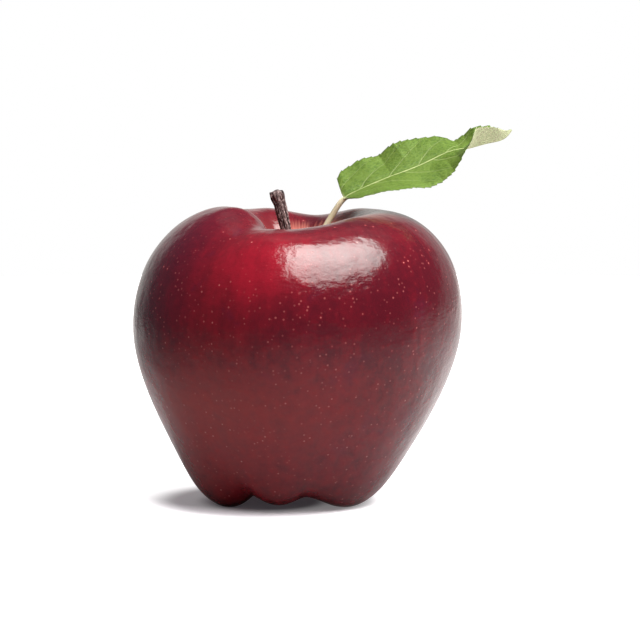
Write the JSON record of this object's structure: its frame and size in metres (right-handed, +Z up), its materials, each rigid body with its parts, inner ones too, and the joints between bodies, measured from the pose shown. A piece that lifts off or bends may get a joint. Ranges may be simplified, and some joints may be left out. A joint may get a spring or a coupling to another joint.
{
  "type": "red apple with leaf",
  "caption": "Lobed red apple that stands on its feet, with a leaning woody stem and a serrated green leaf rising from the stem cavity.",
  "frame": {"origin": "on the table, under the middle of the whole object's bounding box", "axes": "+Z up; -Y is the front, the side facing the viewer, with the leaf on the right along +X; Y is the shortest extent"},
  "size_m": [0.0926, 0.0802, 0.0914],
  "materials": {
    "skin": "waxy gloss, dark red with pale dots",
    "bark": "dry rough bark",
    "leaf_green": "satin green, paler underneath",
    "dry_sepal": "dry and papery, matt",
    "dry_stamen": "dry, matt"
  },
  "bodies": {
    "root": {"fruit": "skin", "stem": "bark", "leaf": "leaf_green", "sepal_1": "dry_sepal", "sepal_2": "dry_sepal", "sepal_3": "dry_sepal", "sepal_4": "dry_sepal", "sepal_5": "dry_sepal", "stamen_tuft": "dry_stamen"}
  },
  "joints": []
}
